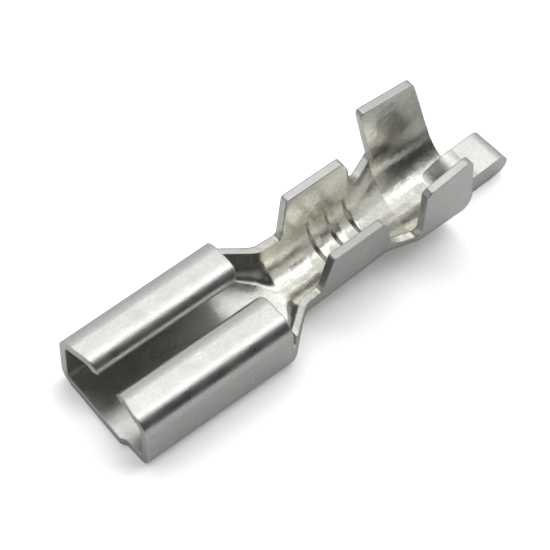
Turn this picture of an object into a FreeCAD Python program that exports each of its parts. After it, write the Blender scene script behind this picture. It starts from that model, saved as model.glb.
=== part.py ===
import FreeCAD, Part
import math
import os
import Sketcher

# Female spade terminal: one stamped and folded piece of tin plated brass sheet.
# X runs from the mouth to the tail, Z is up, and the origin is on the underside of the floor, at the middle of the mouth.
# Left is +Y and right is -Y. Each U section is drawn as its left half and mirrored once the shell is whole.

# Driving dimensions in millimetres and degrees, each written once.
SIZES = {
    "sheet_gauge": 0.5,
    # Receptacle: a flat floor, two walls, and two roofs that roll in towards a slot.
    "receptacle_width": 7.4,
    "receptacle_height": 3.95,
    "receptacle_length": 9.75,
    "floor_bend": 0.75,
    "shoulder_bend": 1.1,
    "lip_bend": 1.1,
    "lip_turn": 70.0,
    "slot_half_width": 0.68,
    "lip_front_cut": 0.35,
    "lip_corner": 0.65,
    # Land on the floor's front edge, where the carrier strip was cut off a little out of square.
    "land_reach_left": 0.04,
    "land_reach_right": 0.22,
    "land_left": 3.0,
    "land_right": 1.6,
    "land_corner": 0.35,
    # Neck: low flanges draw in from the walls to the barrels. A small slot frees them from the shoulders.
    "neck_length": 2.35,
    "throat_length": 1.2,
    "flange_height": 2.42,
    "flange_drop": 0.12,
    "relief_width": 0.26,
    "relief_depth": 0.6,
    # Wire barrel: an open U whose underside rises towards the tail. Its rear end is a little out of square.
    "wire_half_width": 2.2,
    "wire_bend": 2.0,
    "wire_flare": 5.0,
    "wire_flare_rear": 3.2,
    "wire_rise": 0.42,
    "wire_length": 4.5,
    "wire_skew": 5.0,
    # Serrations: shallow ramps across the inside of the wire barrel, each with its steep side towards the tail.
    "groove_start": 1.05,
    "groove_pitch": 1.25,
    "groove_ramp": 0.75,
    "groove_back": 0.2,
    "groove_depth": 0.11,
    "groove_height": 2.35,
    # Insulation barrel: a wider U, joined to the wire barrel by a short funnel. Its front plane leans and is out of square.
    "funnel_length": 2.25,
    "insulation_half_width": 2.95,
    "insulation_bend": 2.7,
    "insulation_flare": 5.0,
    "insulation_flare_rear": 1.0,
    "insulation_floor": 0.22,
    "insulation_length": 4.6,
    "insulation_skew": 10.3,
    # Left wings. The press cut them longer and further back than the right ones.
    "left_wire_front": 0.65,
    "left_wire_setback": 0.05,
    "left_wire_height": 5.17,
    "left_wire_rise": 0.2,
    "left_notch_height": 2.44,
    "left_notch_rise": 0.55,
    "left_notch_round": 0.8,
    "left_notch_corner": 0.2,
    "left_wing_foot": 0.23,
    "left_wing_lean": 0.59,
    "left_wing_length": 3.61,
    "left_wing_height": 6.95,
    "left_wing_rise": 0.0,
    "left_wing_round": 0.28,
    "left_heel_setback": 0.32,
    "left_heel_height": 2.4,
    "left_toe_setback": 0.25,
    # Right wings.
    "right_wire_front": 0.25,
    "right_wire_setback": 0.7,
    "right_wire_height": 5.12,
    "right_wire_rise": -0.12,
    "right_notch_height": 2.4,
    "right_notch_rise": 0.02,
    "right_notch_round": 0.6,
    "right_notch_corner": 0.5,
    "right_wing_foot": -0.68,
    "right_wing_lean": 0.04,
    "right_wing_length": 3.22,
    "right_wing_height": 6.4,
    "right_wing_rise": 0.4,
    "right_wing_round": 0.45,
    "right_heel_setback": 1.81,
    "right_heel_height": 3.1,
    "right_toe_setback": 2.45,
    # How far a wire wing's front edge leans back, its clipped rear corner, and the rounds that both sides share.
    "wire_lean": 0.55,
    "wire_clip": 0.32,
    "wire_clip_drop": 0.75,
    "wire_round": 0.25,
    "foot_round": 0.3,
    "notch_run": 0.34,
    "heel_round": 0.8,
    # Tail: a narrow strip that lifts smoothly out of the barrel's floor and is folded flat under itself.
    "tail_left": 1.02,
    "tail_right": 1.25,
    "tail_root": 2.45,
    "tail_ramp": 2.1,
    "tail_reach": 2.4,
    "tail_top": 1.36,
    "tail_thickness": 1.32,
    "tail_tilt": 5.0,
    "tail_skew": 0.1,
}

NODE = "spade_terminal"


def value(name):
    return SIZES[name]


def add_sheet(doc):
    sheet = doc.addObject("Spreadsheet::Sheet", "sizes")
    for row, (name, number) in enumerate(SIZES.items(), start=1):
        sheet.set("A%d" % row, name)
        sheet.set("B%d" % row, str(number))
        sheet.setAlias("B%d" % row, name)
    doc.recompute()
    return sheet


def origin_plane(body, role):
    return next(f for f in body.Origin.OriginFeatures if f.Role == role)


def new_sketch(body, name, role, offset="0"):
    """A sketch on one of the body's origin planes, moved along its normal by an expression."""
    sketch = body.newObject("Sketcher::SketchObject", name)
    sketch.AttachmentSupport = [(origin_plane(body, role), "")]
    sketch.MapMode = "FlatFace"
    sketch.setExpression("AttachmentOffset.Base.z", offset)
    return sketch


def solve(body, text):
    """The number that an expression gives, read from the sheet so that first guesses and bindings agree."""
    return float(body.evalExpression(text))


def bind(sketch, constraint, name, text):
    index = sketch.addConstraint(constraint)
    sketch.renameConstraint(index, name)
    sketch.setExpression("Constraints." + name, text)


def place_point(sketch, body, geo, pos, label, x_text, y_text):
    """Dimensions a sketch point from the sketch's origin, in whichever order keeps each dimension positive."""
    for axis, text in (("X", x_text), ("Y", y_text)):
        number = solve(body, text)
        name = "%s_%s" % (label, axis.lower())
        if abs(number) < 1e-9:
            line = -2 if axis == "X" else -1
            sketch.addConstraint(Sketcher.Constraint("PointOnObject", geo, pos, line))
        elif number > 0:
            bind(sketch, Sketcher.Constraint("Distance" + axis, -1, 1, geo, pos, number), name, text)
        else:
            bind(sketch, Sketcher.Constraint("Distance" + axis, geo, pos, -1, 1, -number), name, "-(%s)" % text)


def polygon(sketch, body, corners, rounds=()):
    """A closed outline of straight lines whose corners are pairs of expressions. Rounds pairs a corner with its radius."""
    points = [FreeCAD.Vector(solve(body, x), solve(body, y), 0) for x, y in corners]
    count = len(points)
    for k in range(count):
        sketch.addGeometry(Part.LineSegment(points[k], points[(k + 1) % count]), False)
    for k in range(count):
        sketch.addConstraint(Sketcher.Constraint("Coincident", k, 2, (k + 1) % count, 1))
    for k, (x, y) in enumerate(corners):
        place_point(sketch, body, k, 1, "corner%d" % k, x, y)
    for k, radius in rounds:
        sketch.fillet(k, 1, solve(body, radius), True, True)
        bind(sketch, Sketcher.Constraint("Radius", sketch.GeometryCount - 2, solve(body, radius)), "round%d" % k, radius)


def arc(centre, radius, start, end):
    circle = Part.Circle(FreeCAD.Vector(centre[0], centre[1], 0), FreeCAD.Vector(0, 0, 1), radius)
    return Part.ArcOfCircle(circle, math.radians(start), math.radians(end))


def line(a, b):
    return Part.LineSegment(FreeCAD.Vector(a[0], a[1], 0), FreeCAD.Vector(b[0], b[1], 0))


def polar(centre, radius, angle):
    turn = math.radians(angle)
    return (centre[0] + radius * math.cos(turn), centre[1] + radius * math.sin(turn))


def half_u(body, name, station, half_width, bend, flare, floor, height, wall="sizes.sheet_gauge"):
    """The left half of a U section: floor, bend and leaning wall, with an even wall thickness. All are expressions."""
    sketch = new_sketch(body, name, "YZ_Plane", station)
    hw, r, lean, z0, top, t = [solve(body, e) for e in (half_width, bend, flare, floor, height, wall)]
    centre = (hw - r, z0 + r)

    def wall_top(radius):
        foot = polar(centre, radius, -lean)
        return (foot[0] + (top - foot[1]) * math.tan(math.radians(lean)), top)

    outer_foot = polar(centre, r, -lean)
    inner_foot = polar(centre, r - t, -lean)
    shapes = [
        line((0, z0), (centre[0], z0)),
        arc(centre, r, -90, -lean),
        line(outer_foot, wall_top(r)),
        line(wall_top(r), wall_top(r - t)),
        line(wall_top(r - t), inner_foot),
        arc(centre, r - t, -90, -lean),
        line((centre[0], z0 + t), (0, z0 + t)),
        line((0, z0 + t), (0, z0)),
    ]
    for shape in shapes:
        sketch.addGeometry(shape, False)
    for a, pa, b, pb in ((0, 2, 1, 1), (1, 2, 2, 1), (4, 2, 5, 2), (5, 1, 6, 1)):
        sketch.addConstraint(Sketcher.Constraint("Tangent", a, pa, b, pb))
    for a, pa, b, pb in ((2, 2, 3, 1), (3, 2, 4, 1), (6, 2, 7, 1), (7, 2, 0, 1)):
        sketch.addConstraint(Sketcher.Constraint("Coincident", a, pa, b, pb))
    sketch.addConstraint(Sketcher.Constraint("Coincident", 1, 3, 5, 3))
    for k in (0, 3, 6):
        sketch.addConstraint(Sketcher.Constraint("Horizontal", k))
    sketch.addConstraint(Sketcher.Constraint("Vertical", 7))
    sketch.addConstraint(Sketcher.Constraint("Parallel", 2, 4))
    bind(sketch, Sketcher.Constraint("Radius", 1, r), "bend_outer", bend)
    bind(sketch, Sketcher.Constraint("Radius", 5, r - t), "bend_inner", "%s - (%s)" % (bend, wall))
    bind(sketch, Sketcher.Constraint("Angle", 2, math.radians(90 - lean)), "wall_angle", "90 - (%s)" % flare)
    place_point(sketch, body, 1, 3, "bend_centre", "%s - (%s)" % (half_width, bend), "%s + %s" % (floor, bend))
    bind(sketch, Sketcher.Constraint("DistanceY", -1, 1, 2, 2, top), "wall_height", height)
    sketch.addConstraint(Sketcher.Constraint("PointOnObject", 0, 1, -2))
    return sketch


def full_u(body, name, station, half_width, bend, flare, floor, height, wall="sizes.sheet_gauge", lean=None, turn="0"):
    """A whole U section. Its plane is turned by an angle about an axis that lies in it."""
    sketch = new_sketch(body, name, "YZ_Plane", station)
    if lean:
        sketch.AttachmentOffset = FreeCAD.Placement(FreeCAD.Vector(), FreeCAD.Rotation(FreeCAD.Vector(*lean), 1))
        sketch.setExpression("AttachmentOffset.Rotation.Angle", turn)
    hw, r, tip, z0, top, t = [solve(body, e) for e in (half_width, bend, flare, floor, height, wall)]
    middle = hw - r

    def on_arc(side, radius, angle):
        x, y = polar((middle, z0 + r), radius, angle)
        return (side * x, y)

    def wall_top(side, radius):
        x, y = polar((middle, z0 + r), radius, -tip)
        return (side * (x + (top - y) * math.tan(math.radians(tip))), top)

    shapes = [
        line(on_arc(-1, r, -90), on_arc(1, r, -90)),
        arc((middle, z0 + r), r, -90, -tip),
        line(on_arc(1, r, -tip), wall_top(1, r)),
        line(wall_top(1, r), wall_top(1, r - t)),
        line(wall_top(1, r - t), on_arc(1, r - t, -tip)),
        arc((middle, z0 + r), r - t, -90, -tip),
        line(on_arc(1, r - t, -90), on_arc(-1, r - t, -90)),
        arc((-middle, z0 + r), r - t, 180 + tip, 270),
        line(on_arc(-1, r - t, -tip), wall_top(-1, r - t)),
        line(wall_top(-1, r - t), wall_top(-1, r)),
        line(wall_top(-1, r), on_arc(-1, r, -tip)),
        arc((-middle, z0 + r), r, 180 + tip, 270),
    ]
    for shape in shapes:
        sketch.addGeometry(shape, False)
    smooth = ((0, 2, 1, 1), (1, 2, 2, 1), (4, 2, 5, 2), (5, 1, 6, 1), (6, 2, 7, 2), (7, 1, 8, 1), (10, 2, 11, 1), (11, 2, 0, 1))
    for a, pa, b, pb in smooth:
        sketch.addConstraint(Sketcher.Constraint("Tangent", a, pa, b, pb))
    for a, pa, b, pb in ((2, 2, 3, 1), (3, 2, 4, 1), (8, 2, 9, 1), (9, 2, 10, 1), (1, 3, 5, 3), (7, 3, 11, 3)):
        sketch.addConstraint(Sketcher.Constraint("Coincident", a, pa, b, pb))
    for k in (3, 9):
        sketch.addConstraint(Sketcher.Constraint("Horizontal", k))
    for a, b in ((2, 4), (8, 10)):
        sketch.addConstraint(Sketcher.Constraint("Parallel", a, b))
    sketch.addConstraint(Sketcher.Constraint("Symmetric", 1, 3, 11, 3, -2))
    sketch.addConstraint(Sketcher.Constraint("Symmetric", 2, 2, 10, 1, -2))
    sketch.addConstraint(Sketcher.Constraint("Equal", 1, 11))
    sketch.addConstraint(Sketcher.Constraint("Equal", 5, 7))
    bind(sketch, Sketcher.Constraint("Radius", 1, r), "bend_outer", bend)
    bind(sketch, Sketcher.Constraint("Radius", 5, r - t), "bend_inner", "%s - (%s)" % (bend, wall))
    bind(sketch, Sketcher.Constraint("Angle", 2, math.radians(90 - tip)), "wall_angle", "90 - (%s)" % flare)
    place_point(sketch, body, 1, 3, "bend_centre", "%s - (%s)" % (half_width, bend), "%s + %s" % (floor, bend))
    bind(sketch, Sketcher.Constraint("DistanceY", -1, 1, 2, 2, top), "wall_height", height)
    return sketch


def half_receptacle(body):
    """The left half of the mouth's section: floor, wall, roof and rolled lip."""
    sketch = new_sketch(body, "receptacle_section", "YZ_Plane")
    t = value("sheet_gauge")
    hw = value("receptacle_width") / 2
    top = value("receptacle_height")
    low, high, lip = value("floor_bend"), value("shoulder_bend"), value("lip_bend")
    end = 90 + value("lip_turn")
    c1 = (hw - low, low)
    c2 = (hw - high, top - high)
    c3 = (value("slot_half_width") + lip, top - lip)
    shapes = [
        line((0, 0), (c1[0], 0)),
        arc(c1, low, -90, 0),
        line((hw, low), (hw, top - high)),
        arc(c2, high, 0, 90),
        line((c2[0], top), (c3[0], top)),
        arc(c3, lip, 90, end),
        line(polar(c3, lip, end), polar(c3, lip - t, end)),
        arc(c3, lip - t, 90, end),
        line((c3[0], top - t), (c2[0], top - t)),
        arc(c2, high - t, 0, 90),
        line((hw - t, top - high), (hw - t, low)),
        arc(c1, low - t, -90, 0),
        line((c1[0], t), (0, t)),
        line((0, t), (0, 0)),
    ]
    for shape in shapes:
        sketch.addGeometry(shape, False)
    smooth = ((0, 2, 1, 1), (1, 2, 2, 1), (2, 2, 3, 1), (3, 2, 4, 1), (4, 2, 5, 1), (7, 1, 8, 1), (8, 2, 9, 2), (9, 1, 10, 1),
              (10, 2, 11, 2), (11, 1, 12, 1))
    for a, pa, b, pb in smooth:
        sketch.addConstraint(Sketcher.Constraint("Tangent", a, pa, b, pb))
    for a, pa, b, pb in ((5, 2, 6, 1), (6, 2, 7, 2), (12, 2, 13, 1), (13, 2, 0, 1)):
        sketch.addConstraint(Sketcher.Constraint("Coincident", a, pa, b, pb))
    for outer, inner in ((1, 11), (3, 9), (5, 7)):
        sketch.addConstraint(Sketcher.Constraint("Coincident", outer, 3, inner, 3))
    for k in (0, 4, 8, 12):
        sketch.addConstraint(Sketcher.Constraint("Horizontal", k))
    for k in (2, 10, 13):
        sketch.addConstraint(Sketcher.Constraint("Vertical", k))
    sketch.addConstraint(Sketcher.Constraint("PointOnObject", 0, 1, -2))
    sketch.addConstraint(Sketcher.Constraint("PointOnObject", 0, 1, -1))
    for k, radius, name in ((1, low, "floor_bend"), (3, high, "shoulder_bend"), (5, lip, "lip_bend")):
        bind(sketch, Sketcher.Constraint("Radius", k, radius), name, "sizes." + name)
    bind(sketch, Sketcher.Constraint("DistanceX", -1, 1, 2, 1, hw), "half_width", "sizes.receptacle_width / 2")
    bind(sketch, Sketcher.Constraint("DistanceY", -1, 1, 4, 1, top), "height", "sizes.receptacle_height")
    bind(sketch, Sketcher.Constraint("DistanceX", -1, 1, 5, 3, c3[0]), "lip_centre", "sizes.slot_half_width + sizes.lip_bend")
    bind(sketch, Sketcher.Constraint("DistanceY", 8, 1, 4, 2, t), "roof_gauge", "sizes.sheet_gauge")
    turn = math.radians(value("lip_turn"))
    bind(sketch, Sketcher.Constraint("Angle", 5, turn), "lip_turn", "sizes.lip_turn")
    sketch.addConstraint(Sketcher.Constraint("PointOnObject", 5, 3, 6))
    return sketch


def pad(body, name, sketch, length, reverse=False, middle=False):
    feature = body.newObject("PartDesign::Pad", name)
    feature.Profile = sketch
    feature.Type = "Length"
    feature.setExpression("Length", length)
    feature.Reversed = reverse
    feature.Midplane = middle
    return feature


def pocket(body, name, sketch, length, reverse=False):
    feature = body.newObject("PartDesign::Pocket", name)
    feature.Profile = sketch
    feature.Type = "Length"
    feature.setExpression("Length", length)
    feature.Reversed = reverse
    return feature


def loft(body, name, sketches, ruled):
    feature = body.newObject("PartDesign::AdditiveLoft", name)
    feature.Profile = sketches[0]
    feature.Sections = sketches[1:]
    feature.Ruled = ruled
    return feature


# Stations along the neck as shares of its length. Each has how much of the receptacle's extra width is left there, and
# its bend as a share of the way from the receptacle's to the wire barrel's.
NECK = (
    (0.0, 1.0, 0.0),
    (0.09, 0.97, 0.02),
    (0.18, 0.89, 0.08),
    (0.28, 0.76, 0.2),
    (0.72, 0.2, 0.52),
    (0.79, 0.13, 0.66),
    (0.88, 0.06, 0.84),
    (1.0, 0.02, 1.0),
)


def neck_sections(body):
    sections = []
    for k, (along, width, bend) in enumerate(NECK):
        station = "sizes.receptacle_length + sizes.neck_length * %s" % along
        half_width = "sizes.wire_half_width + (sizes.receptacle_width / 2 - sizes.wire_half_width) * %s" % width
        radius = "sizes.floor_bend + (sizes.wire_bend - sizes.floor_bend) * %s" % bend
        flare = "sizes.wire_flare * (1 - %s)" % width
        sections.append(half_u(body, "neck_section_%d" % k, station, half_width, radius, flare, "0", SHELL_TOP))
    return sections


# Stations along the part, each measured on from the one before it.
SHELL_TOP = "sizes.left_wing_height + 1"
WIRE_START = "(sizes.receptacle_length + sizes.neck_length + sizes.throat_length)"
WIRE_END = "(%s + sizes.wire_length)" % WIRE_START
INSULATION_START = "(%s + sizes.funnel_length)" % WIRE_END
INSULATION_END = "(%s + sizes.insulation_length)" % INSULATION_START
WIRE_U = ("sizes.wire_half_width", "sizes.wire_bend")
INSULATION_U = ("sizes.insulation_half_width", "sizes.insulation_bend")
# Axes in a section's own plane: the first turns it in plan, and the second leans its top forward as well.
TURNED = (0, -1, 0)
LEANING = (-0.56, -0.83, 0)


def add_front(body):
    """The left half of the receptacle and the neck, with walls left tall so that the outlines can be cut from them."""
    parts = [pad(body, "receptacle", half_receptacle(body), "sizes.receptacle_length")]
    neck = neck_sections(body)
    parts.append(loft(body, "shoulder", neck[:4], False))
    parts.append(loft(body, "flank", neck[3:5], True))
    parts.append(loft(body, "throat", neck[4:], False))
    end = half_u(body, "neck_front", WIRE_START, *WIRE_U, "sizes.wire_flare", "0", SHELL_TOP)
    parts.append(loft(body, "neck_end", [neck[-1], end], True))
    return parts


def add_barrels(body):
    """Wire barrel, funnel and insulation barrel between four whole U sections."""
    front = full_u(body, "wire_front", WIRE_START, *WIRE_U, "sizes.wire_flare", "0", SHELL_TOP)
    rear = full_u(body, "wire_rear", WIRE_END, *WIRE_U, "sizes.wire_flare_rear", "sizes.wire_rise", SHELL_TOP,
                  lean=TURNED, turn="sizes.wire_skew")
    bowl = full_u(body, "bowl_front", INSULATION_START, *INSULATION_U, "sizes.insulation_flare", "sizes.insulation_floor",
                  SHELL_TOP, lean=LEANING, turn="sizes.insulation_skew")
    back = full_u(body, "bowl_rear", INSULATION_END, *INSULATION_U, "sizes.insulation_flare_rear", "sizes.insulation_floor",
                  SHELL_TOP)
    loft(body, "wire_barrel", [front, rear], True)
    loft(body, "funnel", [rear, bowl], True)
    loft(body, "insulation_barrel", [bowl, back], True)


def groove_section(body, name, along, depth):
    """The serration cutter at one station, as deep below the barrel's inner surface as an expression says."""
    floor = "sizes.wire_rise * (%s) / sizes.wire_length + sizes.sheet_gauge - (%s)" % (along, depth)
    half_width = "sizes.wire_half_width - sizes.sheet_gauge + %s" % depth
    bend = "sizes.wire_bend - sizes.sheet_gauge + %s" % depth
    flare = "sizes.wire_flare + (sizes.wire_flare_rear - sizes.wire_flare) * (%s) / sizes.wire_length" % along
    return full_u(body, name, WIRE_START + " + " + along, half_width, bend, flare, floor, "sizes.groove_height",
                  "sizes.groove_depth * 3")


def cut_grooves(body):
    """Three serrations. Each sinks along a ramp and comes up again over its short steep side."""
    for k in range(3):
        start = "sizes.groove_start + %d * sizes.groove_pitch" % k
        low = start + " + sizes.groove_ramp"
        sections = [
            groove_section(body, "groove_%d_start" % k, start, "sizes.groove_depth * -0.1"),
            groove_section(body, "groove_%d_low" % k, low, "sizes.groove_depth"),
            groove_section(body, "groove_%d_end" % k, low + " + sizes.groove_back", "sizes.groove_depth * -0.1"),
        ]
        feature = body.newObject("PartDesign::SubtractiveLoft", "groove_%d" % k)
        feature.Profile = sections[0]
        feature.Sections = sections[1:]
        feature.Ruled = True


def cut_lips(body):
    """Trims the roofs in plan: the front edges lean back for the tab's lead in, and the rear corners are clipped."""
    height = "sizes.receptacle_height + 1"
    depth = "sizes.receptacle_height + 1 - sizes.sheet_gauge * 2"
    front = new_sketch(body, "lip_front_outline", "XY_Plane", height)
    inner = "sizes.receptacle_width / 2 - sizes.shoulder_bend"
    polygon(front, body, [("-1", "0"), ("sizes.lip_front_cut", "0"), ("sizes.lip_front_cut", "sizes.slot_half_width"),
                          ("0", inner), ("-1", inner)])
    rear = new_sketch(body, "lip_rear_outline", "XY_Plane", height)
    lip_end(rear, body)
    return [pocket(body, "lip_front_cut", front, depth), pocket(body, "lip_rear_cut", rear, depth)]


def lip_end(sketch, body):
    """The waste outside a rounded rear corner, on the roof's slot side."""
    x, y, r = [solve(body, e) for e in ("sizes.receptacle_length", "sizes.slot_half_width", "sizes.lip_corner")]
    sketch.addGeometry(arc((x - r, y + r), r, -90, 0), False)
    sketch.addGeometry(line((x, y + r), (x, 0)), False)
    sketch.addGeometry(line((x, 0), (x - r, 0)), False)
    sketch.addGeometry(line((x - r, 0), (x - r, y)), False)
    for k, a, b in ((0, 2, 1), (1, 2, 1), (2, 2, 1)):
        sketch.addConstraint(Sketcher.Constraint("Coincident", k, a, k + 1, b))
    sketch.addConstraint(Sketcher.Constraint("Coincident", 3, 2, 0, 1))
    sketch.addConstraint(Sketcher.Constraint("Vertical", 1))
    sketch.addConstraint(Sketcher.Constraint("Vertical", 3))
    sketch.addConstraint(Sketcher.Constraint("PointOnObject", 2, 1, -1))
    sketch.addConstraint(Sketcher.Constraint("PointOnObject", 2, 2, -1))
    place_point(sketch, body, 0, 3, "centre", "sizes.receptacle_length - sizes.lip_corner",
                "sizes.slot_half_width + sizes.lip_corner")
    place_point(sketch, body, 0, 1, "tip", "sizes.receptacle_length - sizes.lip_corner", "sizes.slot_half_width")
    bind(sketch, Sketcher.Constraint("DistanceY", -1, 1, 0, 2, y + r), "side", "sizes.slot_half_width + sizes.lip_corner")


def mirror(body, parts):
    feature = body.newObject("PartDesign::Mirrored", "right_half")
    feature.Originals = parts
    feature.MirrorPlane = (origin_plane(body, "XZ_Plane"), [""])
    body.Tip = feature
    return feature


def wing_outline(side):
    """Side view of the metal cut away above one side's edge, from the receptacle to the tail, and its rounded corners."""
    def size(name):
        return "sizes.%s_%s" % (side, name)

    top = SHELL_TOP + " + 1"
    edge = "sizes.receptacle_length"
    relief = edge + " + sizes.relief_width"
    relief_floor = "sizes.flange_height - sizes.relief_depth"
    wire_front = WIRE_START + " + " + size("wire_front")
    wire_rear = WIRE_END + " - " + size("wire_setback")
    wire_top = size("wire_height") + " + " + size("wire_rise")
    clip = wire_rear + " + sizes.wire_clip"
    foot = INSULATION_START + " + " + size("wing_foot")
    wing_front = foot + " - " + size("wing_lean")
    toe = INSULATION_END + " - " + size("toe_setback")
    far = INSULATION_END + " + 1"
    corners = {
        "edge_top": (edge, top),
        "edge_floor": (edge, relief_floor),
        "relief_floor": (relief, relief_floor),
        "flange_front": (relief, "sizes.flange_height + sizes.flange_drop"),
        "flange_rear": (wire_front + " - sizes.wire_lean", "sizes.flange_height"),
        "wire_front": (wire_front, size("wire_height")),
        "wire_rear": (wire_rear, wire_top),
        "wire_clip": (clip, wire_top + " - sizes.wire_clip_drop"),
        "notch_front": (clip + " + sizes.notch_run", size("notch_height")),
        "notch_rear": (foot, size("notch_height") + " + " + size("notch_rise")),
        "wing_front": (wing_front, size("wing_height")),
        "wing_rear": (wing_front + " + " + size("wing_length"), size("wing_height") + " + " + size("wing_rise")),
        "heel": (INSULATION_END + " - " + size("heel_setback"), size("heel_height")),
        "toe": (toe, "sizes.insulation_floor + sizes.sheet_gauge"),
        "toe_floor": (toe, "-1"),
        "far_floor": (far, "-1"),
        "far_top": (far, top),
    }
    radii = {
        "relief_floor": "sizes.relief_width / 3",
        "flange_front": "sizes.flange_drop",
        "flange_rear": "sizes.foot_round",
        "wire_front": "sizes.wire_round / 2",
        "wire_rear": "sizes.wire_round",
        "wire_clip": "sizes.wire_round",
        "notch_front": size("notch_round"),
        "notch_rear": size("notch_corner"),
        "wing_front": size("wing_round"),
        "wing_rear": size("wing_round"),
        "heel": "sizes.heel_round",
    }
    names = list(corners)
    return list(corners.values()), [(names.index(name), radius) for name, radius in radii.items()]


def cut_wings(body):
    """Cuts both sides' outlines. The cuts start beside the tail's strip, which runs on out of the floor."""
    for side, offset, reverse in (("left", "-sizes.tail_left", False), ("right", "sizes.tail_right", True)):
        sketch = new_sketch(body, side + "_outline", "XZ_Plane", offset)
        corners, rounds = wing_outline(side)
        polygon(sketch, body, corners, rounds)
        pocket(body, side + "_wings", sketch, "sizes.receptacle_width", reverse=reverse)


# Sections of the strip between the bowl and the fold, as shares of the ramp. Each has its share of the lift, and the
# radius of its hollow, which flattens out.
STRIP = (
    (0.0, 0.0, 5.0),
    (0.3, 0.08, 5.6),
    (0.62, 0.55, 9.0),
    (0.9, 0.96, 30.0),
    (1.3, 1.0, 60.0),
)
TAIL_START = "(%s - sizes.tail_root)" % INSULATION_END


def strip_section(body, name, along, lift, radius):
    """The strip's section: two arcs on one centre between two short sides, a little inside the bowl's floor at first."""
    sketch = new_sketch(body, name, "YZ_Plane", "%s + sizes.tail_ramp * %s" % (TAIL_START, along))
    centre = "(sizes.tail_left - sizes.tail_right) / 2"
    half = "((sizes.tail_left + sizes.tail_right) / 2)"
    low = "(sizes.insulation_floor + sizes.sheet_gauge * 0.06)"
    top = "(%s + sizes.sheet_gauge * 0.9 + (sizes.tail_top - %s - sizes.sheet_gauge * 0.9) * %s" % (low, low, lift)
    top += " + sizes.tail_ramp * %s * tan(sizes.tail_tilt) - sizes.sheet_gauge * 0.02)" % max(along - 1, 0)
    bottom = "(%s - sizes.sheet_gauge * 0.9)" % top
    inner = "(%s - sizes.sheet_gauge * 0.9)" % radius

    def edge(level, bend):
        return "%s + %s - sqrt(%s ^ 2 - %s ^ 2)" % (level, bend, bend, half)

    cx, w, r, ri, zb, zt = [solve(body, e) for e in (centre, half, str(radius), inner, bottom, top)]
    tip, tip_in = [math.degrees(math.asin(w / value)) for value in (r, ri)]
    shapes = [
        arc((cx, zb + r), r, 270 - tip, 270 + tip),
        line(polar((cx, zb + r), r, 270 + tip), polar((cx, zt + ri), ri, 270 + tip_in)),
        arc((cx, zt + ri), ri, 270 - tip_in, 270 + tip_in),
        line(polar((cx, zt + ri), ri, 270 - tip_in), polar((cx, zb + r), r, 270 - tip)),
    ]
    for shape in shapes:
        sketch.addGeometry(shape, False)
    for a, pa, b, pb in ((0, 2, 1, 1), (1, 2, 2, 2), (2, 1, 3, 1), (3, 2, 0, 1)):
        sketch.addConstraint(Sketcher.Constraint("Coincident", a, pa, b, pb))
    bind(sketch, Sketcher.Constraint("Radius", 0, r), "hollow_outer", str(radius))
    bind(sketch, Sketcher.Constraint("Radius", 2, ri), "hollow_inner", inner)
    place_point(sketch, body, 0, 2, "low_left", "%s + %s" % (centre, half), edge(bottom, "%s" % radius))
    place_point(sketch, body, 0, 1, "low_right", "%s - %s" % (centre, half), edge(bottom, "%s" % radius))
    place_point(sketch, body, 2, 2, "high_left", "%s + %s" % (centre, half), edge(top, inner))
    place_point(sketch, body, 2, 1, "high_right", "%s - %s" % (centre, half), edge(top, inner))
    return sketch


def fold_section(body, side, offset, end):
    """The folded end's side view on one side: two pressed layers that end in a full round."""
    sketch = new_sketch(body, "fold_%s" % side, "XZ_Plane", offset)
    front = "(%s + sizes.tail_ramp * 0.8)" % TAIL_START
    crest = "(%s + sizes.tail_ramp)" % TAIL_START
    flush = "(%s + sizes.tail_ramp * 0.28)" % crest
    rise = "(%s - %s) * tan(sizes.tail_tilt)" % (end, crest)
    polygon(sketch, body, [
        (front, "sizes.tail_top - sizes.tail_thickness"),
        (front, "sizes.tail_top - sizes.sheet_gauge * 0.3"),
        (flush, "sizes.tail_top + sizes.tail_ramp * 0.28 * tan(sizes.tail_tilt)"),
        (end, "sizes.tail_top + " + rise),
        (end, "sizes.tail_top - sizes.tail_thickness + " + rise),
        (crest, "sizes.tail_top - sizes.tail_thickness"),
    ], [(3, "sizes.tail_thickness * 0.49"), (4, "sizes.tail_thickness * 0.49")])
    return sketch


def add_tail(body):
    sections = [strip_section(body, "strip_%d" % k, *row) for k, row in enumerate(STRIP)]
    loft(body, "strip", sections, False)
    left = fold_section(body, "left", "-sizes.tail_left", "(%s + sizes.tail_reach - sizes.tail_skew)" % INSULATION_END)
    right = fold_section(body, "right", "sizes.tail_right", "(%s + sizes.tail_reach)" % INSULATION_END)
    loft(body, "fold", [left, right], True)


def add_land(body):
    sketch = new_sketch(body, "land_outline", "XY_Plane")
    polygon(sketch, body, [
        ("0.3", "sizes.land_left"),
        ("0", "sizes.land_left"),
        ("-sizes.land_reach_left", "sizes.land_left - sizes.land_reach_left"),
        ("-sizes.land_reach_right", "-sizes.land_right"),
        ("0", "-(sizes.land_right + sizes.land_corner)"),
        ("0.3", "-(sizes.land_right + sizes.land_corner)"),
    ])
    return pad(body, "land", sketch, "sizes.sheet_gauge")


def check(doc, body):
    for item in doc.Objects:
        bad = [word for word in item.State if word in ("Invalid", "Error")]
        if bad:
            raise RuntimeError("%s: %s" % (item.Name, bad))
    if body.Shape.isNull() or not body.Shape.isValid():
        raise RuntimeError("the terminal's shape is not valid")
    if len(body.Shape.Solids) != 1:
        raise RuntimeError("the terminal is %d solids" % len(body.Shape.Solids))


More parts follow.
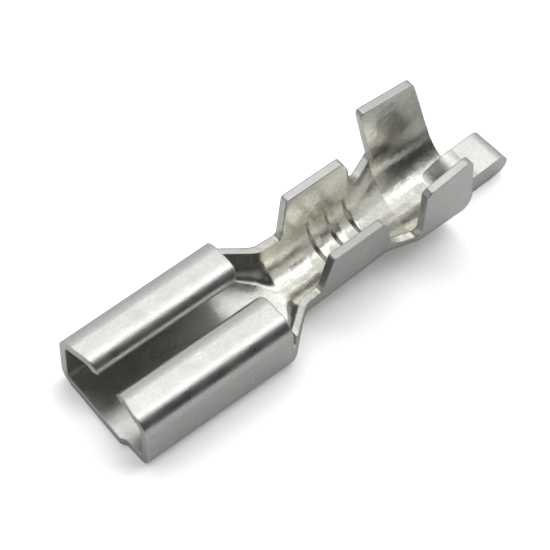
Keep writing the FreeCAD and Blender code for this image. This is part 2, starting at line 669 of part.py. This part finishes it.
def main():
    doc = FreeCAD.newDocument("terminal")
    add_sheet(doc)
    body = doc.addObject("PartDesign::Body", NODE)
    body.Label = NODE
    doc.recompute()
    parts = add_front(body)
    doc.recompute()
    parts += cut_lips(body)
    doc.recompute()
    mirror(body, parts)
    doc.recompute()
    add_barrels(body)
    doc.recompute()
    cut_grooves(body)
    doc.recompute()
    cut_wings(body)
    doc.recompute()
    add_tail(body)
    add_land(body)
    doc.recompute()
    check(doc, body)
    os.makedirs("parts", exist_ok=True)
    body.Shape.exportStep("parts/%s.step" % NODE)


main()
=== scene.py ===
import math
import bpy
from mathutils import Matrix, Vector

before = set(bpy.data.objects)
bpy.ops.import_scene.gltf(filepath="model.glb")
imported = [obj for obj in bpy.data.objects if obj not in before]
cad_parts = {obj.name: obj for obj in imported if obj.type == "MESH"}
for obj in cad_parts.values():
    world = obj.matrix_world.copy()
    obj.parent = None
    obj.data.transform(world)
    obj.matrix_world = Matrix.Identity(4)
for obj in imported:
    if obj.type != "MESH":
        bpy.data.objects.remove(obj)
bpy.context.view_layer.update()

MM = 0.001
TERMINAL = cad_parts["spade_terminal"]
MIDDLE = Vector((12.7, 0, 2)) * MM

# Where the metal changes and where light is painted inside the barrels, in metres on the terminal: X from the mouth
# to the tail, Z up.
AXIS_HEIGHT = 3.2 * MM
INSIDE_STARTS = (9.0 * MM, 12.0 * MM)
INSIDE_ENDS = (22.6 * MM, 25.0 * MM)
INSIDE_SHARPNESS = 3.0
CUT_EDGES_FROM = 10.4 * MM
CUT_EDGES_ABOVE = 2.2 * MM
CUT_EDGES_UPWARD = 0.6

# The metal. Noise scales are counts per metre, and heights and the radius are in metres.
GRAIN_SCALE = (4000, 11000, 11000)
MOTTLE_SCALE = 900.0
DENT_SCALE = 1100.0
NOISE_LOW, NOISE_HIGH = 0.3, 0.7
ROUGHNESS = (0.26, 0.36)
ROUGHNESS_INSIDE = -0.07
DARK_TIN = (0.64, 0.64, 0.62, 1)
LIGHT_TIN = (0.80, 0.80, 0.78, 1)
# Painted light inside the barrels: their tint is lighter and warmer than the tin outside.
PAINTED_LIGHT_INSIDE_TINT = (1.1, 1.09, 1.03, 1)
SHEARED_BRASS = (0.8, 0.8, 0.81, 1)
EDGE_RADIUS = 0.12 * MM
DENT_DEPTH = 0.04 * MM
GRAIN_DEPTH = 0.01 * MM

# The white card's tone as a lit card, and what the metal's reflections and the camera see on top of it.
CARD_SIZE = 1.2
CARD_TONE = 0.8
CARD_TONE_IN_METAL = 0.25
CARD_TONE_TO_CAMERA = 1.75
CARD_GLOW_TO_CAMERA = 0.02
SKY_STRENGTH = 0.04

# Name, azimuth and elevation in degrees, then distance, width and height in metres, and brightness.
SOFTBOXES = (
    ("key_box", 80, 75, 0.4, 0.28, 0.28, 0.72),
    ("top_box", 42, 62, 0.4, 0.36, 0.32, 0.74),
    ("ridge_box", -32, 67, 0.38, 0.16, 0.2, 1.4),
    ("back_wall", 80, 22, 0.5, 1.0, 0.36, 0.6),
    ("far_wall", -7, 27, 0.5, 0.72, 0.46, 0.6),
    ("left_wall", 150, 27, 0.5, 0.5, 0.46, 0.4),
)

# The camera that was fitted to the photo. Its focal length is 3000 pixels of the photo's 550.
SENSOR_WIDTH = 36.0
FOCAL_LENGTH = 3000.0 / 550.0 * SENSOR_WIDTH
CAMERA_TARGET = Vector((12.71, 1.44, 0.0)) * MM
CAMERA_AZIMUTH = -129.4
CAMERA_ELEVATION = 56.3
CAMERA_DISTANCE = 162.3 * MM


def direction(azimuth, elevation):
    """The unit vector towards an azimuth from +X and an elevation, both in degrees."""
    turn, rise = math.radians(azimuth), math.radians(elevation)
    return Vector((math.cos(turn) * math.cos(rise), math.sin(turn) * math.cos(rise), math.sin(rise)))


def face_away(holder, way):
    """Turn a lamp or camera so that it looks against a direction."""
    holder.rotation_mode = "QUATERNION"
    holder.rotation_quaternion = way.to_track_quat("Z", "Y")


def new_material(name):
    material = bpy.data.materials.new(name)
    material.use_nodes = True
    material.node_tree.nodes.clear()
    return material, material.node_tree.nodes, material.node_tree.links


def new_node(nodes, kind, **inputs):
    """A node with its inputs set. An underscore in a keyword stands for a space in the input's name."""
    node = nodes.new(kind)
    for name, value in inputs.items():
        node.inputs[name.replace("_", " ")].default_value = value
    return node


def math_node(nodes, links, operation, *values, clamp=False):
    """A Math node whose inputs are numbers or outputs. Gives its output."""
    node = nodes.new("ShaderNodeMath")
    node.operation = operation
    node.use_clamp = clamp
    for socket, value in zip(node.inputs, values):
        if isinstance(value, (int, float)):
            socket.default_value = value
        else:
            links.new(value, socket)
    return node.outputs[0]


def vector_node(nodes, links, operation, *values):
    """A Vector Math node whose inputs are vectors or outputs. Gives the output that carries its result."""
    node = nodes.new("ShaderNodeVectorMath")
    node.operation = operation
    for socket, value in zip(node.inputs, values):
        if isinstance(value, tuple):
            socket.default_value = value
        else:
            links.new(value, socket)
    return node.outputs["Value" if operation == "DOT_PRODUCT" else "Vector"]


def split(nodes, links, vector):
    """The three outputs of a Separate XYZ node, by the names X, Y and Z."""
    node = nodes.new("ShaderNodeSeparateXYZ")
    links.new(vector, node.inputs["Vector"])
    return node.outputs


def tint(nodes, links, colour, factor, multiplier):
    """The colour multiplied by another where the factor is 1."""
    node = new_node(nodes, "ShaderNodeMix")
    node.data_type = "RGBA"
    node.blend_type = "MULTIPLY"
    node.inputs["B"].default_value = multiplier
    links.new(factor, node.inputs["Factor"])
    links.new(colour, node.inputs["A"])
    return node.outputs["Result"]


def inside_mask(nodes, links, place):
    """1 on the surfaces of the neck and barrels that face the terminal's own axis, and 0 elsewhere."""
    to_axis = vector_node(nodes, links, "MULTIPLY", place.outputs["Object"], (0, -1, -1))
    to_axis = vector_node(nodes, links, "ADD", to_axis, (0, 0, AXIS_HEIGHT))
    to_axis = vector_node(nodes, links, "NORMALIZE", to_axis)
    facing = vector_node(nodes, links, "DOT_PRODUCT", to_axis, place.outputs["Normal"])
    inside = math_node(nodes, links, "MULTIPLY_ADD", facing, INSIDE_SHARPNESS, 0.0, clamp=True)
    along = split(nodes, links, place.outputs["Object"])["X"]
    for nothing, full in (INSIDE_STARTS, reversed(INSIDE_ENDS)):
        ramp = new_node(nodes, "ShaderNodeMapRange", From_Min=nothing, From_Max=full)
        links.new(along, ramp.inputs["Value"])
        inside = math_node(nodes, links, "MULTIPLY", inside, ramp.outputs["Result"])
    return inside


def cut_edge_mask(nodes, links, place):
    """1 on the sheared tops of the flanges and wings, and 0 elsewhere."""
    at = split(nodes, links, place.outputs["Object"])
    facing = split(nodes, links, place.outputs["Normal"])
    behind = math_node(nodes, links, "GREATER_THAN", at["X"], CUT_EDGES_FROM)
    high = math_node(nodes, links, "GREATER_THAN", at["Z"], CUT_EDGES_ABOVE)
    upward = math_node(nodes, links, "GREATER_THAN", facing["Z"], CUT_EDGES_UPWARD)
    behind_and_high = math_node(nodes, links, "MULTIPLY", behind, high)
    return math_node(nodes, links, "MULTIPLY", behind_and_high, upward)


def metal_colour(nodes, links, place, grain, inside):
    """Streaks of lighter and darker tin, painted light inside the barrels as a lighter and warmer tint, and darker
    on the sheared edges.
    """
    streaks = nodes.new("ShaderNodeValToRGB")
    dark, light = streaks.color_ramp.elements
    dark.position, dark.color = NOISE_LOW, DARK_TIN
    light.position, light.color = NOISE_HIGH, LIGHT_TIN
    links.new(grain, streaks.inputs["Fac"])
    # Painted light: the inside of the barrels is made lighter and warmer.
    colour = tint(nodes, links, streaks.outputs["Color"], inside, PAINTED_LIGHT_INSIDE_TINT)
    return tint(nodes, links, colour, cut_edge_mask(nodes, links, place), SHEARED_BRASS)


def metal_roughness(nodes, links, place, inside):
    """A mottled gloss that is smoother inside the barrels."""
    mottle = new_node(nodes, "ShaderNodeTexNoise", Scale=MOTTLE_SCALE, Detail=3.0)
    links.new(place.outputs["Object"], mottle.inputs["Vector"])
    gloss = new_node(nodes, "ShaderNodeMapRange", From_Min=NOISE_LOW, From_Max=NOISE_HIGH)
    gloss.inputs["To Min"].default_value, gloss.inputs["To Max"].default_value = ROUGHNESS
    links.new(mottle.outputs["Fac"], gloss.inputs["Value"])
    return math_node(nodes, links, "MULTIPLY_ADD", inside, ROUGHNESS_INSIDE, gloss.outputs["Result"])


def metal_relief(nodes, links, place, grain, inside):
    """Worn edges first, then the shallow press marks inside the barrels, and the grain on top."""
    worn = new_node(nodes, "ShaderNodeBevel", Radius=EDGE_RADIUS)
    worn.samples = 6
    dents = new_node(nodes, "ShaderNodeTexNoise", Scale=DENT_SCALE, Detail=2.0)
    links.new(place.outputs["Object"], dents.inputs["Vector"])
    pressed = new_node(nodes, "ShaderNodeBump", Strength=1.0, Distance=DENT_DEPTH)
    links.new(math_node(nodes, links, "MULTIPLY", dents.outputs["Fac"], inside), pressed.inputs["Height"])
    links.new(worn.outputs["Normal"], pressed.inputs["Normal"])
    brushed = new_node(nodes, "ShaderNodeBump", Strength=0.5, Distance=GRAIN_DEPTH)
    links.new(grain, brushed.inputs["Height"])
    links.new(pressed.outputs["Normal"], brushed.inputs["Normal"])
    return brushed.outputs["Normal"]


def tinned_brass():
    """Satin tin over rolled brass: fine grain along the strip, mottled gloss, and painted light inside the barrels
    as a lighter, warm tint.
    """
    material, nodes, links = new_material("tinned_brass")
    out = nodes.new("ShaderNodeOutputMaterial")
    shader = new_node(nodes, "ShaderNodeBsdfPrincipled", Metallic=1.0)
    links.new(shader.outputs["BSDF"], out.inputs["Surface"])
    place = nodes.new("ShaderNodeTexCoord")
    stretch = new_node(nodes, "ShaderNodeMapping", Scale=GRAIN_SCALE)
    links.new(place.outputs["Object"], stretch.inputs["Vector"])
    noise = new_node(nodes, "ShaderNodeTexNoise", Scale=1.0, Detail=4.0, Roughness=0.65)
    links.new(stretch.outputs["Vector"], noise.inputs["Vector"])
    grain = noise.outputs["Fac"]
    inside = inside_mask(nodes, links, place)
    links.new(metal_colour(nodes, links, place, grain, inside), shader.inputs["Base Color"])
    links.new(metal_roughness(nodes, links, place, inside), shader.inputs["Roughness"])
    links.new(metal_relief(nodes, links, place, grain, inside), shader.inputs["Normal"])
    return material


def dress_terminal():
    """The CAD node stays as it is and only gets its metal."""
    TERMINAL.data.materials.clear()
    TERMINAL.data.materials.append(tinned_brass())


def white_card():
    """A card that is brighter to the camera and in the metal than it is as a lit card."""
    material, nodes, links = new_material("white_card")
    out = nodes.new("ShaderNodeOutputMaterial")
    card = nodes.new("ShaderNodeBsdfDiffuse")
    glow = nodes.new("ShaderNodeEmission")
    both = nodes.new("ShaderNodeAddShader")
    rays = nodes.new("ShaderNodeLightPath").outputs
    tone = math_node(nodes, links, "MULTIPLY_ADD", rays["Is Glossy Ray"], CARD_TONE_IN_METAL, CARD_TONE)
    tone = math_node(nodes, links, "MULTIPLY_ADD", rays["Is Camera Ray"], CARD_TONE_TO_CAMERA, tone)
    strength = math_node(nodes, links, "MULTIPLY", rays["Is Camera Ray"], CARD_GLOW_TO_CAMERA)
    links.new(tone, card.inputs["Color"])
    links.new(strength, glow.inputs["Strength"])
    links.new(card.outputs["BSDF"], both.inputs[0])
    links.new(glow.outputs["Emission"], both.inputs[1])
    links.new(both.outputs["Shader"], out.inputs["Surface"])
    return material


def add_floor():
    """The card that holds the terminal's shadow."""
    bpy.ops.object.select_all(action="DESELECT")
    bpy.ops.mesh.primitive_plane_add(size=CARD_SIZE, location=(13 * MM, 0, 0))
    floor = bpy.context.object
    floor.name = "floor"
    floor.data.materials.append(white_card())


def add_world():
    world = bpy.data.worlds.new("studio")
    bpy.context.scene.world = world
    world.use_nodes = True
    nodes, links = world.node_tree.nodes, world.node_tree.links
    nodes.clear()
    out = nodes.new("ShaderNodeOutputWorld")
    sky = new_node(nodes, "ShaderNodeBackground", Color=(1, 1, 1, 1), Strength=SKY_STRENGTH)
    links.new(sky.outputs["Background"], out.inputs["Surface"])


def softbox(name, azimuth, elevation, distance, width, height, brightness):
    """An area light that faces the terminal's middle from a direction. Brightness 1 looks white."""
    lamp = bpy.data.lights.new(name, "AREA")
    lamp.shape = "RECTANGLE"
    lamp.size = width
    lamp.size_y = height
    lamp.energy = brightness * math.pi * width * height
    holder = bpy.data.objects.new(name, lamp)
    bpy.context.scene.collection.objects.link(holder)
    way = direction(azimuth, elevation)
    holder.location = MIDDLE + way * distance
    face_away(holder, way)


def add_camera():
    """The photo's camera: a long lens from above the mouth's right side."""
    lens = bpy.data.cameras.new("camera")
    lens.sensor_width = SENSOR_WIDTH
    lens.lens = FOCAL_LENGTH
    lens.clip_start = 0.01
    lens.clip_end = 10.0
    camera = bpy.data.objects.new("camera", lens)
    bpy.context.scene.collection.objects.link(camera)
    way = direction(CAMERA_AZIMUTH, CAMERA_ELEVATION)
    camera.location = CAMERA_TARGET + way * CAMERA_DISTANCE
    face_away(camera, way)
    bpy.context.scene.camera = camera


bpy.context.scene.view_settings.view_transform = "Standard"
dress_terminal()
add_floor()
add_world()
for box in SOFTBOXES:
    softbox(*box)
add_camera()
